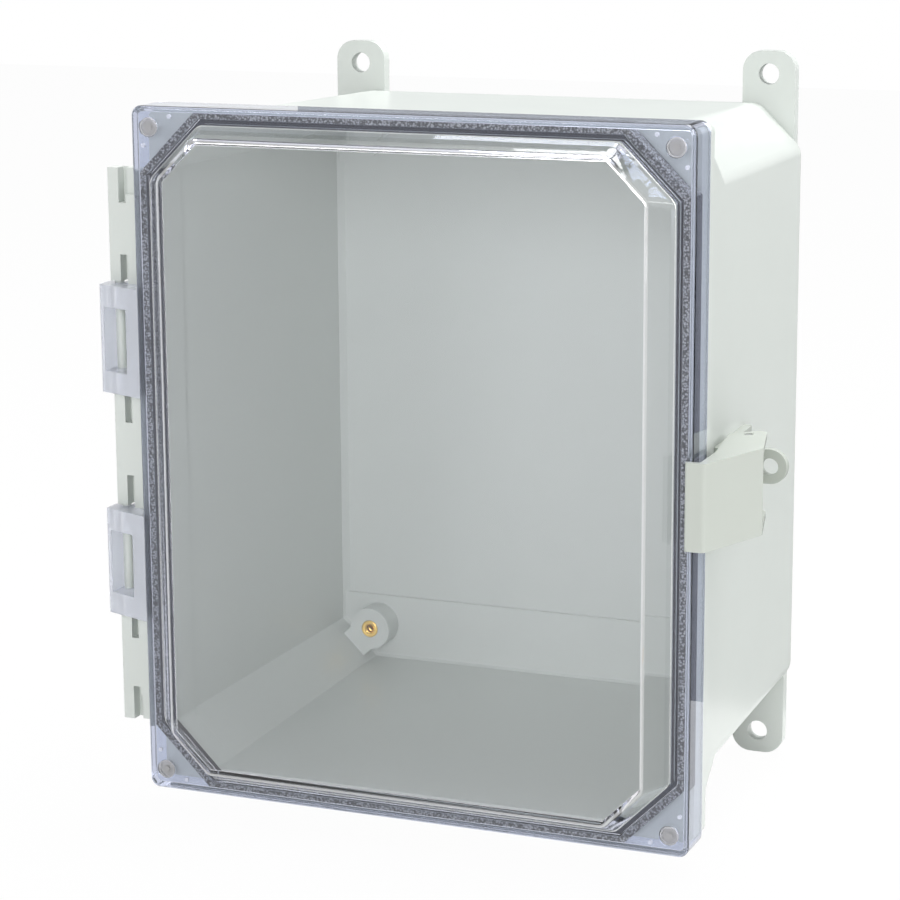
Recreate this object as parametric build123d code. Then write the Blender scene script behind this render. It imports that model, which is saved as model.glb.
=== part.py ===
from build123d import *
import math
import os

# Wall enclosure of moulded fiberglass with a hinged clear cover and a snap latch, in millimetres.
# Seen from the front, X points right and Z up, and Y points at the wall.
# The origin lies on the wall plane, in the middle of the four foot holes.
# A depth is a distance from the wall towards the room, so it lies at y = -depth.

# Clear cover: its width and height set those of the box behind it
cover_width = 228.0
cover_height = 276.0
cover_corner_radius = 4.0
cover_plate = 3.0
skirt_wall = 2.2
skirt_clearance = 0.6
skirt_end_gap = 0.8
cover_edge_chamfer = 0.8

# Raised window of the cover: its foot lies inside the cover's edge, its top inside its foot
window_height = 9.5
window_wall = 3.0
window_side_margin = 7.5
window_end_margin = 7.0
window_chamfer = 21.5
window_side_run = 8.0
window_end_run = 4.4
window_corner_run = 4.3
window_rounding = 2.6
window_fold_radius = 6.0

# Rib behind the window and the foam gasket that lies around it
rib_offset = 0.1
rib_wall = 2.2
rib_height = 4.2
gasket_rib_gap = 0.2
gasket_skirt_gap = 0.1
gasket_chamfer_width = 3.0
gasket_thickness = 7.2
gasket_inner_offset = 0.5
gasket_seat_gap = 0.3

# Plugs in pockets at the cover's corners
plug_corner_inset_x = 7.5
plug_corner_inset_z = 8.2
plug_head_radius = 3.75
plug_head_height = 2.0
plug_clearance = 0.1

# Box: its walls lean out from the back to the flange
flange_back_depth = 148.6
flange_thickness = 7.6
flange_inset = 1.2
flange_corner_radius = 4.0
flange_overhang_side = 2.6
flange_overhang_end = 3.4
wall_lean = 3.9
wall = 3.2
back_wall = 4.0
corner_chamfer = 18.0
corner_web_length = 24.6
corner_web_chamfer = 3.0
shell_rounding = 7.5
web_fold_rounding = 4.0
inner_back_chamfer = 2.5
opening_fold_rounding = 4.8
rim_height = 7.8
rim_wall = 5.2
rim_corner_radius = 2.5
opening_chamfer_margin = 4.4

# Mounting feet, moulded in one with the back
foot_thickness = 5.5
foot_width = 22.4
foot_side_inset = 14.3
foot_hole_reach = 12.0
foot_hole_radius = 4.3
foot_end_margin = 9.5
foot_corner_radius = 8.0

# Bands, bosses and brass inserts that carry a mounting panel inside
band_height = 28.3
boss_radius = 9.4
boss_depth = 16.5
boss_side_inset = 17.4
boss_end_inset = 15.2
boss_web = 13.6
boss_web_drop = 1.5
insert_radius = 3.9
insert_length = 10.0
insert_proud = 0.4
insert_clearance = 0.05
insert_bore_radius = 2.1

# Hinge rail on the left of the flange, with the rods that the cover's loops clip on
hinge_drop = 2.8
rail_thickness = 6.4
rail_half_length = 114.0
rail_slot_width = 3.15
rail_plate_width = 14.6
rail_bar_width = 4.7
rail_floor = 1.5
rail_bay_margin = 0.8
rail_notch_length = 10.5
rail_notch_depth = 1.6
rod_diameter = 3.8
slot_low = 10.9
slot_high = 79.3
end_slot_length = 14.0
rail_tongue = 1.8
rail_tongue_thickness = 3.0
rail_tongue_margin = 4.0
rail_tongue_clearance = 0.1

# Clear hinge loops on the left of the cover
loop_height = 43.6
loop_offset = 45.9
knuckle_radius = 4.6
knuckle_height = 8.8
rod_clearance = 0.05
knuckle_mouth = 3.0
loop_bar = 2.4
loop_bar_gap = 0.8
loop_window_width = 12.2
loop_rail_gap = 0.4
loop_front_inset = 4.5
loop_nose_depth = 8.0
loop_rounding = 1.4

# Latch lever on the right, its pin and its bracket
latch_drop = 1.3
latch_half_height = 16.7
latch_wall = 2.4
latch_plate_thickness = 2.6
latch_lip_reach = 2.3
latch_lip_thickness = 2.4
latch_lip_gap = 0.3
latch_side_gap = 3.0
latch_shoulder = 5.3
latch_plate_length = 36.2
latch_flare_angle = 20.2
latch_rear_run = 33.0
latch_rear_turn_angle = 33.7
latch_rounding = 1.6
latch_edge_rounding = 1.0
latch_rear_rounding = 3.0
pivot_wall_gap = 10.1
pivot_back_offset = 27.1
pin_radius = 1.8
pin_clearance = 0.05
pin_seat_clearance = 0.02
pin_end_recess = 0.3
lug_radius = 4.0
lug_gap = 0.3
bracket_base = 3.4
bracket_half_height = 13.5
bracket_front_reach = 13.0
bracket_rear_reach = 31.5
bracket_rounding = 2.0
tab_back_offset = 21.0
tab_thickness = 3.2
tab_radius = 6.9
tab_reach = 13.7
tab_hole_radius = 3.3
screw_back_offset = 12.0
screw_spacing = 16.0
screw_radius = 1.5
screw_head_radius = 3.0
screw_head_height = 1.9
screw_tip_margin = 0.6
screw_clearance = 0.05

# Places that follow from the sizes above
cover_x = cover_width / 2
cover_z = cover_height / 2
skirt_x = cover_x - skirt_wall
skirt_z = cover_z - skirt_wall
rim_x = skirt_x - skirt_clearance
rim_z = skirt_z - skirt_clearance
flange_x = cover_x - flange_inset
flange_z = cover_z - flange_inset
back_x = flange_x - flange_overhang_side - wall_lean
back_z = flange_z - flange_overhang_end - wall_lean
flange_front_depth = flange_back_depth + flange_thickness
rim_front_depth = flange_front_depth + rim_height
plate_back_depth = rim_front_depth + gasket_seat_gap + gasket_thickness
cover_front_depth = plate_back_depth + cover_plate
skirt_end_depth = flange_front_depth + skirt_end_gap
web_start_depth = flange_back_depth - corner_web_length
inner_chamfer = corner_chamfer - wall * (2 - math.sqrt(2))
opening_chamfer = window_chamfer - opening_chamfer_margin
foot_x = back_x - foot_side_inset
foot_z = back_z + foot_hole_reach
boss_x = back_x - wall - boss_side_inset
boss_z = back_z - wall - boss_end_inset
window_x = cover_x - window_side_margin
window_z = cover_z - window_end_margin
hinge_x = -flange_x - rail_plate_width - rail_slot_width - rail_bar_width / 2
hinge_depth = flange_front_depth - rail_thickness / 2
rod_radius = rod_diameter / 2
pivot_depth = flange_back_depth - pivot_back_offset
SIGNS = ((-1, 1), (1, 1), (-1, -1), (1, -1))
SIDES = {(-1, 1): "upper_left", (1, 1): "upper_right", (-1, -1): "lower_left", (1, -1): "lower_right"}


def wall_x(depth):
    """Half width of the box outside, at a depth from the wall."""
    return back_x + wall_lean * depth / flange_back_depth


def wall_z(depth):
    """Half height of the box outside, at a depth from the wall."""
    return back_z + wall_lean * depth / flange_back_depth


pivot_x = wall_x(pivot_depth) + pivot_wall_gap


def facing_front(depth):
    """Plane at a depth that looks at the room, with its own x along X and its y along Z."""
    return Plane(origin=(0, -depth, 0), x_dir=(1, 0, 0), z_dir=(0, -1, 0))


def rectangle(depth, half_x, half_z, radius):
    """Rectangle with round corners at a depth, around the Y axis."""
    return facing_front(depth) * RectangleRounded(2 * half_x, 2 * half_z, radius)


def octagon(depth, half_x, half_z, leg, radius=0.0):
    """Rectangle with its corners cut off by a leg, at a depth, around the Y axis."""
    outline = Rectangle(2 * half_x, 2 * half_z)
    outline = chamfer(outline.vertices(), leg)
    if radius > 0:
        outline = fillet(outline.vertices(), radius)
    return facing_front(depth) * outline


def moved_leg(leg, side, end, corner):
    """Leg of an octagon whose sides, ends and cut corners move out by three distances."""
    return leg + side + end - corner * math.sqrt(2)


def rod(depth_from, depth_to, x, z, radius):
    """Round bar along Y between two depths."""
    return extrude(facing_front(depth_from) * Pos(x, z) * Circle(radius), depth_to - depth_from)


def block(x_from, x_to, depth_from, depth_to, z_from, z_to):
    """Rectangular block between two limits along each axis."""
    size = (x_to - x_from, depth_to - depth_from, z_to - z_from)
    centre = ((x_from + x_to) / 2, -(depth_from + depth_to) / 2, (z_from + z_to) / 2)
    return Pos(*centre) * Box(*size)


def plan(points, z_from, z_to, rounded=()):
    """Upright prism over points given as (x, depth), with some of its corners rounded."""
    outline = make_face(Polyline(*[(x, -depth) for x, depth in points], close=True))
    for index, radius in rounded:
        x, depth = points[index]
        corner = outline.vertices().sort_by_distance((x, -depth, 0))[0]
        outline = fillet(corner, radius)
    return extrude(Plane.XY.offset(z_from) * outline, z_to - z_from)


def foot(sign_x, sign_z):
    """One mounting foot, which reaches from inside the back wall to past the end of the box."""
    end_z = foot_z + foot_end_margin
    root_z = back_z - wall - band_height
    outline = Rectangle(foot_width, end_z - root_z)
    tips = outline.vertices().group_by(Axis.Y)[-1]
    outline = fillet(tips, foot_corner_radius)
    outline = Pos(0, (end_z + root_z) / 2) * outline
    plate = extrude(facing_front(0) * outline, foot_thickness)
    plate -= rod(0, foot_thickness, 0, foot_z, foot_hole_radius)
    if sign_z < 0:
        plate = mirror(plate, Plane.XY)
    return Pos(sign_x * foot_x, 0, 0) * plate


def panel_boss(sign_x, sign_z):
    """One boss for a mounting panel, with the web that ties it to the cut corner."""
    boss = rod(back_wall, boss_depth, 0, 0, boss_radius)
    corner_x = back_x - wall
    corner_z = back_z - wall
    reach = (corner_x + corner_z - inner_chamfer - boss_x - boss_z) / math.sqrt(2) + wall / 2
    web = block(0, reach, back_wall, boss_depth - boss_web_drop, -boss_web / 2, boss_web / 2)
    boss += Rot(0, -45, 0) * web
    if sign_x < 0:
        boss = mirror(boss, Plane.YZ)
    if sign_z < 0:
        boss = mirror(boss, Plane.XY)
    return Pos(sign_x * boss_x, 0, sign_z * boss_z) * boss


def eight_sided(depth_from, depth_to, half_x, half_z, leg, rise, runs):
    """Rectangular block with cut corners, given by its outline at the first depth.

    Its sides, its ends and its cut corners each lean in by their own run over the rise.
    """
    side_run, end_run, corner_run = runs
    spread = abs(side_run) + abs(end_run)
    shape = block(
        -half_x - spread, half_x + spread, depth_from, depth_to, -half_z - spread, half_z + spread,
    )
    corner_reach = (half_x + half_z - leg) / math.sqrt(2)
    faces = []
    for turn in (0, 180):
        faces.append((turn, half_x, side_run))
        faces.append((turn + 90, half_z, end_run))
        for diagonal in (45, 135):
            faces.append((turn + diagonal, corner_reach, corner_run))
    for turn, reach, run in faces:
        outward = Vector(math.cos(math.radians(turn)), 0, math.sin(math.radians(turn)))
        normal = outward * rise + Vector(0, -run, 0)
        face = Plane(origin=outward * reach + Vector(0, -depth_from, 0), z_dir=normal)
        shape = split(shape, bisect_by=face, keep=Keep.BOTTOM)
    return shape


def box_outside():
    """Leaning walls with cut corners, which run out into the square corners of the flange."""
    leans = (-wall_lean, -wall_lean, -wall_lean)
    outside = eight_sided(0, web_start_depth, back_x, back_z, corner_chamfer, flange_back_depth, leans)
    front_edges = outside.faces().sort_by(Axis.Y)[0].edges()
    outside = fillet([edge for edge in outside.edges() if edge not in front_edges], shell_rounding)
    middle = outside.faces().sort_by(Axis.Y)[0]
    front_x = wall_x(flange_back_depth)
    front_z = wall_z(flange_back_depth)
    front = octagon(flange_back_depth, front_x, front_z, corner_web_chamfer, web_fold_rounding)
    outside += loft([middle, front], ruled=True)
    flange = rectangle(flange_back_depth, flange_x, flange_z, flange_corner_radius)
    outside += extrude(flange, flange_thickness)
    rim = rectangle(flange_front_depth, rim_x, rim_z, rim_corner_radius)
    return outside + extrude(rim, rim_height)


def box_inside():
    """Hollow of the box, from its back wall out through the rim, less the two bands."""
    leans = (-wall_lean, -wall_lean, -wall_lean)
    inside = eight_sided(
        back_wall, flange_back_depth, wall_x(back_wall) - wall, wall_z(back_wall) - wall,
        inner_chamfer, flange_back_depth, leans,
    )
    inside = chamfer(inside.faces().sort_by(Axis.Y)[-1].edges(), inner_back_chamfer)
    opening = octagon(
        flange_back_depth, rim_x - rim_wall, rim_z - rim_wall, opening_chamfer, opening_fold_rounding,
    )
    inside += extrude(opening, rim_front_depth - flange_back_depth)
    band_z = back_z - wall - band_height
    for sign in (-1, 1):
        low, high = sorted((sign * band_z, sign * back_z))
        inside -= block(-back_x, back_x, back_wall, foot_thickness, low, high)
    return inside


def box_body():
    """The moulded box: shell, flange, rim, feet and panel bosses in one piece."""
    body = box_outside() - box_inside()
    for sign_x, sign_z in SIGNS:
        body += foot(sign_x, sign_z)
        body += panel_boss(sign_x, sign_z)
        pocket_floor = boss_depth + insert_proud - insert_length
        pocket_radius = insert_radius + insert_clearance
        body -= rod(pocket_floor, boss_depth, sign_x * boss_x, sign_z * boss_z, pocket_radius)
    groove_depth = rail_tongue + rail_tongue_clearance
    half_tongue = rail_tongue_thickness / 2 + rail_tongue_clearance
    half_groove = rail_half_length - rail_tongue_margin + rail_tongue_clearance
    body -= block(
        -flange_x, -flange_x + groove_depth, hinge_depth - half_tongue, hinge_depth + half_tongue,
        -half_groove - hinge_drop, half_groove - hinge_drop,
    )
    for z in (-screw_spacing / 2, screw_spacing / 2):
        hole = Pos(0, 0, -wall / 2) * Cylinder(screw_radius + screw_clearance, 2 * wall)
        body -= wall_plane(z - latch_drop) * hole
    return body


def wall_plane(z):
    """Plane on the right wall at a bracket screw, looking out of the wall."""
    depth = pivot_depth - screw_back_offset
    out_of_wall = (flange_back_depth, wall_lean, 0)
    return Plane(origin=(wall_x(depth), -depth, z), x_dir=(0, 0, 1), z_dir=out_of_wall)


def panel_insert(sign_x, sign_z):
    """One brass insert, a tube that stands a little proud of its boss."""
    top = boss_depth + insert_proud
    insert = rod(top - insert_length, top, 0, 0, insert_radius)
    insert -= rod(top - insert_length, top, 0, 0, insert_bore_radius)
    return Pos(sign_x * boss_x, 0, sign_z * boss_z) * insert


def slanted_octagon(depth, half_x, half_z, leg):
    """Eight-sided block with the window's slanted sides, on its foot at a depth."""
    runs = (window_side_run, window_end_run, window_corner_run)
    return eight_sided(depth, depth + window_height, half_x, half_z, leg, window_height, runs)


def window_hollow():
    """Space behind the raised window, one wall thickness inside it all round."""
    side = slant_inset(window_side_run)
    end = slant_inset(window_end_run)
    leg = moved_leg(window_chamfer, -side, -end, -slant_inset(window_corner_run))
    return slanted_octagon(plate_back_depth, window_x - side, window_z - end, leg)


def slant_inset(run):
    """How far a slanted side moves in, so that it lies a wall behind the outer one when set back by it."""
    slope = math.atan2(window_height, run)
    return window_wall * (1 - math.cos(slope)) / math.sin(slope)


def raised_window():
    """Window that stands out of the cover with slanted sides, soft folds and a soft top edge."""
    window = slanted_octagon(cover_front_depth, window_x, window_z, window_chamfer)
    ends = window.faces().sort_by(Axis.Y)
    flat = ends[0].edges() + ends[-1].edges()
    window = fillet([edge for edge in window.edges() if edge not in flat], window_fold_radius)
    return fillet(window.faces().sort_by(Axis.Y)[0].edges(), window_rounding)


def rib_outline(depth, offset):
    """Octagon around the window's foot, at an offset outside it."""
    leg = moved_leg(window_chamfer, offset, offset, offset)
    return octagon(depth, window_x + offset, window_z + offset, leg)


def clear_cover():
    """The clear cover: plate, skirt, raised window and rib in one piece."""
    outline = rectangle(skirt_end_depth, cover_x, cover_z, cover_corner_radius)
    cover = extrude(outline, cover_front_depth - skirt_end_depth)
    cover = chamfer(cover.faces().sort_by(Axis.Y)[0].edges(), cover_edge_chamfer)
    hollow = rectangle(skirt_end_depth, skirt_x, skirt_z, cover_corner_radius - skirt_wall)
    cover -= extrude(hollow, plate_back_depth - skirt_end_depth)
    cover += raised_window()
    cover -= window_hollow()
    rib_depth = plate_back_depth - rib_height
    rib = extrude(rib_outline(rib_depth, rib_offset + rib_wall), rib_height)
    cover += rib - extrude(rib_outline(rib_depth, rib_offset), rib_height)
    for sign_x, sign_z in SIGNS:
        x = sign_x * (cover_x - plug_corner_inset_x)
        z = sign_z * (cover_z - plug_corner_inset_z)
        seat_depth = cover_front_depth - plug_head_height
        cover -= rod(seat_depth, cover_front_depth, x, z, plug_head_radius + plug_clearance)
    return cover


def cover_gasket():
    """Foam ring behind the rib and between it and the skirt, cut across the corners like the rib."""
    beside_offset = rib_offset + rib_wall + gasket_rib_gap
    beside_leg = moved_leg(window_chamfer, beside_offset, beside_offset, beside_offset)
    outer_x = skirt_x - gasket_skirt_gap
    outer_z = skirt_z - gasket_skirt_gap
    side = outer_x - window_x - beside_offset
    end = outer_z - window_z - beside_offset
    outer_leg = moved_leg(beside_leg, side, end, gasket_chamfer_width)
    depth = plate_back_depth - gasket_thickness
    ring = extrude(octagon(depth, outer_x, outer_z, outer_leg), gasket_thickness)
    ring -= extrude(rib_outline(depth, gasket_inner_offset), gasket_thickness)
    channel = rib_height + gasket_rib_gap
    return ring - extrude(rib_outline(plate_back_depth - channel, beside_offset), channel)


def corner_plug(sign_x, sign_z):
    """One translucent plug, flush in its pocket."""
    seat_depth = cover_front_depth - plug_head_height
    plug = rod(seat_depth, cover_front_depth, 0, 0, plug_head_radius)
    x = sign_x * (cover_x - plug_corner_inset_x)
    z = sign_z * (cover_z - plug_corner_inset_z)
    return Pos(x, 0, z) * plug


def hinge_rail():
    """Rail beside the flange, with blind slots, a notch at each end, and two bays with round rods."""
    left_x = hinge_x - rail_bar_width / 2
    slot_x = hinge_x + rail_bar_width / 2
    plate_x = slot_x + rail_slot_width
    low_depth = hinge_depth - rail_thickness / 2
    high_depth = hinge_depth + rail_thickness / 2
    rail = block(left_x, -flange_x, low_depth, high_depth, -rail_half_length, rail_half_length)
    spans = (
        (slot_low, slot_high),
        (-slot_high, -slot_low),
        (rail_half_length - end_slot_length, rail_half_length),
        (-rail_half_length, -rail_half_length + end_slot_length),
    )
    for low, high in spans:
        rail -= block(slot_x, plate_x, low_depth + rail_floor, high_depth, low, high)
    notch_start = rail_half_length - rail_notch_length
    for low, high in ((notch_start, rail_half_length), (-rail_half_length, -notch_start)):
        rail -= block(plate_x, -flange_x, high_depth - rail_notch_depth, high_depth, low, high)
    half_bay = loop_height / 2 + rail_bay_margin
    for centre in (loop_offset, -loop_offset):
        low = centre - half_bay
        high = centre + half_bay
        rail -= block(left_x, plate_x, low_depth, high_depth, low, high)
        rail += Pos(hinge_x, -hinge_depth, low) * extrude(Circle(rod_radius), high - low)
    half_tongue = rail_tongue_thickness / 2
    tongue_z = rail_half_length - rail_tongue_margin
    rail += block(
        -flange_x, -flange_x + rail_tongue, hinge_depth - half_tongue, hinge_depth + half_tongue,
        -tongue_z, tongue_z,
    )
    return rail


def hinge_loop(centre_z):
    """Clear loop on the cover's left edge, which clips on the rod at its top and bottom."""
    low = centre_z - loop_height / 2
    high = centre_z + loop_height / 2
    bar_x = hinge_x - rod_radius - loop_bar_gap
    left_x = bar_x - loop_bar
    back_depth = flange_front_depth + loop_rail_gap
    points = (
        (-cover_x, back_depth),
        (-cover_x, cover_front_depth - loop_front_inset),
        (left_x, hinge_depth + loop_nose_depth),
        (left_x, hinge_depth),
        (hinge_x, hinge_depth),
        (hinge_x + back_depth - hinge_depth, back_depth),
    )
    loop = plan(points, low, high, rounded=((2, loop_rounding),))
    knuckle = extrude(Circle(knuckle_radius), loop_height)
    loop += Pos(hinge_x, -hinge_depth, low) * knuckle
    loop -= Pos(hinge_x, -hinge_depth, low) * extrude(Circle(rod_radius + rod_clearance), loop_height)
    half_mouth = knuckle_mouth / 2
    mouth_end = hinge_depth - knuckle_radius
    loop -= block(hinge_x - half_mouth, hinge_x + half_mouth, mouth_end, hinge_depth, low, high)
    window_low = low + knuckle_height
    window_high = high - knuckle_height
    far_depth = cover_front_depth
    window = block(bar_x, bar_x + loop_window_width, mouth_end, far_depth, window_low, window_high)
    return loop - window


def lever_outline():
    """Corners of the lever seen from above, as (x, depth), round from the tip of its lip."""
    lip_depth = cover_front_depth + latch_lip_gap
    front_depth = lip_depth + latch_lip_thickness
    tip_x = cover_x - latch_lip_reach
    corner_x = cover_x + latch_shoulder
    inner_x = cover_x + latch_side_gap
    flare = math.radians(latch_flare_angle)
    plate_x = corner_x + latch_plate_length * math.sin(flare)
    plate_depth = front_depth - latch_plate_length * math.cos(flare)
    turn = math.radians(latch_rear_turn_angle - latch_flare_angle)
    rear_x = plate_x - latch_rear_run * math.sin(turn)
    rear_depth = plate_depth - latch_rear_run * math.cos(turn)
    heel_x = wall_x(pivot_depth) + latch_side_gap
    heel_depth = pivot_depth + lug_radius / 2
    return (
        (tip_x, lip_depth),
        (tip_x, front_depth),
        (corner_x, front_depth),
        (plate_x, plate_depth),
        (rear_x, rear_depth),
        (heel_x, heel_depth),
        (inner_x, flange_front_depth),
        (inner_x, lip_depth),
    )


def latch_lever():
    """Lever with a lip over the cover, a flared plate and two side walls on the pin."""
    points = lever_outline()
    rounded = (
        (1, latch_edge_rounding),
        (2, latch_rounding),
        (3, latch_edge_rounding),
        (4, latch_rear_rounding),
        (5, latch_rounding),
    )
    lever = plan(points, -latch_half_height, latch_half_height, rounded)
    flare = math.radians(latch_flare_angle)
    across_x = math.cos(flare)
    across_depth = math.sin(flare)
    corner_x, corner_depth = points[2]
    plate_x, plate_depth = points[3]
    lip_depth = points[0][1]
    inside_x = plate_x - latch_plate_thickness * across_x
    inside_depth = plate_depth - latch_plate_thickness * across_depth
    slope = (inside_x - corner_x + latch_plate_thickness * across_x) / (corner_depth - plate_depth)
    start_x = inside_x - slope * (lip_depth - inside_depth)
    past = 2 * latch_plate_thickness
    hollow_points = (
        (start_x, lip_depth),
        (inside_x, inside_depth),
        (plate_x + past * across_x, plate_depth + past * across_depth),
        (plate_x + past * across_x, 0),
        (0, 0),
        (0, lip_depth),
    )
    half_hollow = latch_half_height - latch_wall
    lever -= plan(hollow_points, -half_hollow, half_hollow)
    hole = Cylinder(pin_radius + pin_clearance, 2 * latch_half_height)
    return lever - Pos(pivot_x, -pivot_depth, 0) * hole


def latch_pin():
    """Pin that the lever turns on."""
    pin = Cylinder(pin_radius, 2 * (latch_half_height - pin_end_recess))
    return Pos(pivot_x, -pivot_depth, 0) * pin


def latch_bracket():
    """Bracket on the right wall, with the lug for the pin and the tab for a padlock."""
    front = pivot_depth + bracket_front_reach
    rear = pivot_depth - bracket_rear_reach
    points = (
        (wall_x(rear), rear),
        (wall_x(rear) + bracket_base, rear),
        (wall_x(front) + bracket_base, front),
        (wall_x(front), front),
    )
    rounded = ((1, bracket_rounding), (2, bracket_rounding))
    bracket = plan(points, -bracket_half_height, bracket_half_height, rounded)
    lug_half = latch_half_height - latch_wall - lug_gap
    lug_low = pivot_depth - lug_radius
    lug_high = pivot_depth + lug_radius
    root_x = wall_x(pivot_depth) + bracket_base / 2
    lug = block(root_x, pivot_x, lug_low, lug_high, -lug_half, lug_half)
    lug += Pos(pivot_x, -pivot_depth, 0) * Cylinder(lug_radius, 2 * lug_half)
    bracket += lug
    bracket -= Pos(pivot_x, -pivot_depth, 0) * Cylinder(pin_radius + pin_seat_clearance, 2 * lug_half)
    tab_depth = pivot_depth - tab_back_offset
    tab_x = wall_x(tab_depth) + tab_reach
    tab_root = wall_x(tab_depth) + bracket_base / 2
    bracket += block(
        tab_root, tab_x, tab_depth - tab_thickness / 2, tab_depth + tab_thickness / 2,
        -tab_radius, tab_radius,
    )
    near = tab_depth - tab_thickness / 2
    far = tab_depth + tab_thickness / 2
    bracket += rod(near, far, tab_x, 0, tab_radius)
    bracket -= rod(near, far, tab_x, 0, tab_hole_radius)
    blind = bracket_base - screw_tip_margin + screw_clearance
    for z in (-screw_spacing / 2, screw_spacing / 2):
        hole = Cylinder(screw_radius + screw_clearance, 2 * blind)
        bracket -= wall_plane(z) * hole
    return bracket


def bracket_screws():
    """Two hexagon screws that hold the bracket from inside the box."""
    inner = -wall * math.cos(math.atan2(wall_lean, flange_back_depth))
    tip = bracket_base - screw_tip_margin
    shank = Pos(0, 0, (inner + tip) / 2) * Cylinder(screw_radius, tip - inner)
    head = extrude(RegularPolygon(screw_head_radius, 6), screw_head_height / 2, both=True)
    head = Pos(0, 0, inner - screw_head_height / 2) * head
    screw = shank + head
    return Compound([wall_plane(z) * screw for z in (-screw_spacing / 2, screw_spacing / 2)])


pieces = {
    "box_body": box_body(),
    "hinge_rail": hinge_rail(),
    "latch_bracket": latch_bracket(),
    "latch_bracket_screws": bracket_screws(),
    "latch_pin": latch_pin(),
    "latch_lever": latch_lever(),
    "clear_cover": clear_cover(),
    "cover_gasket": cover_gasket(),
    "hinge_loop_upper": hinge_loop(loop_offset),
    "hinge_loop_lower": hinge_loop(-loop_offset),
}
for name in ("hinge_rail", "hinge_loop_upper", "hinge_loop_lower"):
    pieces[name] = Pos(0, 0, -hinge_drop) * pieces[name]
for name in ("latch_bracket", "latch_bracket_screws", "latch_pin", "latch_lever"):
    pieces[name] = Pos(0, 0, -latch_drop) * pieces[name]
for signs, side in SIDES.items():
    pieces[f"panel_insert_{side}"] = panel_insert(*signs)
    pieces[f"corner_plug_{side}"] = corner_plug(*signs)

os.makedirs("parts", exist_ok=True)
for name, piece in pieces.items():
    export_step(piece, f"parts/{name}.step")
    print(name, round(piece.volume), "cubic millimetres")
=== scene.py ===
"""Looks of a moulded fiberglass wall enclosure with a clear hinged cover and a snap latch.

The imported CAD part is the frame. This script dresses its nodes, puts finer inserts and plugs in
the place of the plain ones, adds the mould marks behind the cover, and sets up a white studio
with the camera at the photograph's angle. Lengths are in metres, with +X to the right, +Y into
the wall and +Z up.
"""

import logging
import math
from dataclasses import dataclass, field
from enum import Enum
from typing import Any

import bmesh
import bpy
from mathutils import Matrix, Vector


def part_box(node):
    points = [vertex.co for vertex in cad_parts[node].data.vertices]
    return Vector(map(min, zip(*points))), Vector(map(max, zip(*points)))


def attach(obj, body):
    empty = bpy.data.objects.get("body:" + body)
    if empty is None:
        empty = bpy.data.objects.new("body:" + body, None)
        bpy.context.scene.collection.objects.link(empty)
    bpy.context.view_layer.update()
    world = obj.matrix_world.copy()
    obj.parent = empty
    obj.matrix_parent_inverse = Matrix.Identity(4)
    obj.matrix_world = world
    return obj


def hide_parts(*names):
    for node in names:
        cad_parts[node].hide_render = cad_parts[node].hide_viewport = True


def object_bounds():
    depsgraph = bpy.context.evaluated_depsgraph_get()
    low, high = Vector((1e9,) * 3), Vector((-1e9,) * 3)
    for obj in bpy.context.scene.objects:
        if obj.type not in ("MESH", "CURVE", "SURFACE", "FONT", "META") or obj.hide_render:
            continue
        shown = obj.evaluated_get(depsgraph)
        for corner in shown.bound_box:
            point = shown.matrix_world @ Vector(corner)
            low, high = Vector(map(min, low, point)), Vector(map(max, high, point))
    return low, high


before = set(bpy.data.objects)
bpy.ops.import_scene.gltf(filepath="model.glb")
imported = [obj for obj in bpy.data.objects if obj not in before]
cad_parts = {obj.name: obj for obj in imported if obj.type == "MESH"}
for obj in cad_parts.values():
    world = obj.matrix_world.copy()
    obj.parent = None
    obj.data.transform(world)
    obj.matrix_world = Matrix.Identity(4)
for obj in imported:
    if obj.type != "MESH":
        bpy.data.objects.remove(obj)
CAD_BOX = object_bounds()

LOG = logging.getLogger("enclosure")
MM = 0.001

# Outline of the window's foot: half its width, half its height, and the cut of its corners.
WINDOW_HALF = (106.5 * MM, 131.0 * MM)
WINDOW_CUT = 21.5 * MM

# Turn that points a piece made along Z at the viewer, and the white of the studio.
FACING_FRONT = (math.radians(90.0), 0.0, 0.0)
WHITE = (1.0, 1.0, 1.0, 1.0)

Colour = tuple[float, float, float]
Point = tuple[float, float, float]
Span = tuple[float, float]


class Body(Enum):
    """CAD bodies that a piece can ride on."""

    ENCLOSURE = "enclosure"
    COVER = "cover"
    LATCH = "latch"


class Slot(Enum):
    """Material slots of the record."""

    FIBERGLASS = "fiberglass"
    LATCH_PLASTIC = "latch_plastic"
    CLEAR_PLASTIC = "clear_plastic"
    PLUG_PLASTIC = "plug_plastic"
    GASKET_FOAM = "gasket_foam"
    BRASS = "brass"
    STEEL = "steel"


def shade(red: int, green: int, blue: int) -> Colour:
    """Linear colour of an eight-bit screen colour.

    Args:
        red: Red from 0 to 255.
        green: Green from 0 to 255.
        blue: Blue from 0 to 255.

    Returns:
        The three channels as Blender's sockets take them.
    """
    channels = []
    for value in (red, green, blue):
        part = value / 255
        channels.append(part / 12.92 if part <= 0.04045 else ((part + 0.055) / 1.055) ** 2.4)
    return tuple(channels)


# ---- Node trees ----


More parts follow.
